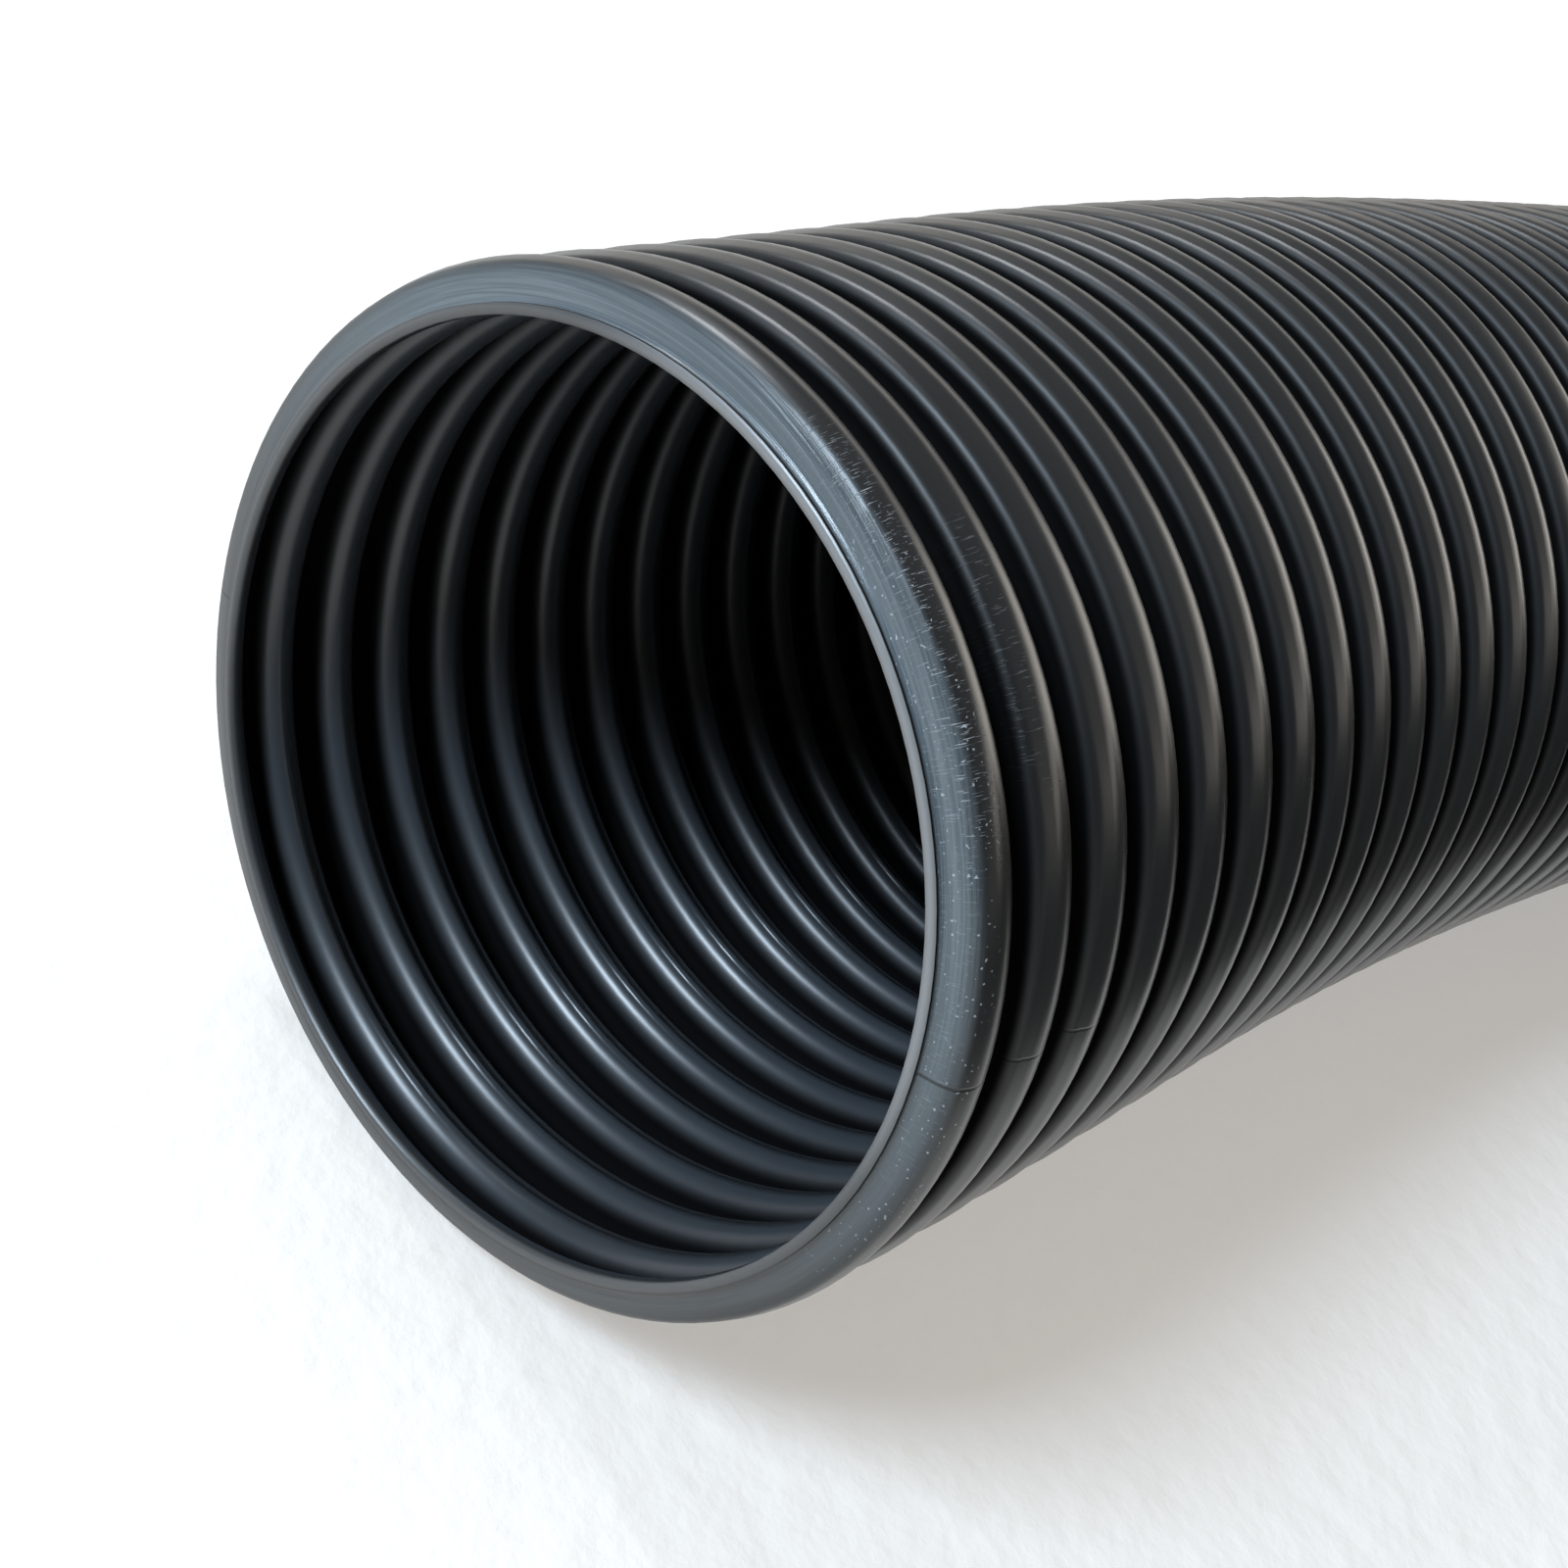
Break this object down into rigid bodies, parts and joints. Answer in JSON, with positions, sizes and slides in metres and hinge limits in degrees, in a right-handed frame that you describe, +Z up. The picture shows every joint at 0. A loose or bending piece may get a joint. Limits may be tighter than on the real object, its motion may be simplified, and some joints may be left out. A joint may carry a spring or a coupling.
{
  "type": "vacuum hose",
  "caption": "Flexible ringed suction hose with a bare cut end, a flat coil and a swivel cuff, for pool or spa vacuum cleaning.",
  "frame": {"origin": "centre of the bore at the bare cut end, in the plane of the cut", "axes": "+Y along the hose away from the mouth, +X to the right towards the coil, +Z up; the floor is one crest radius below the origin"},
  "size_m": [0.5596, 0.5298, 0.0907],
  "materials": {
    "hose_wall": "satin charcoal plastic with smooth rounded rings",
    "collar": "fine moulded texture",
    "washer": "smooth white low-friction plastic",
    "spring_steel": "bare spring wire",
    "seal": "smooth rubber",
    "cuff": "soft satin moulded plastic"
  },
  "bodies": {
    "hose": {"hose_end": "hose_wall", "hose_run": "hose_wall", "hose_coil": "hose_wall", "hose_tail": "hose_wall", "hose_collar": "collar", "thrust_washer": "washer", "retaining_ring": "spring_steel", "cuff_seal": "seal"},
    "cuff": {"swivel_cuff": "cuff"}
  },
  "joints": [
    {"name": "cuff_swivel", "type": "hinge", "parent": "hose", "child": "cuff", "pos_m": [0.10452, 0.25861, 0.04353], "axis": [0.1392, 0.9903, 0], "continuous": true}
  ]
}
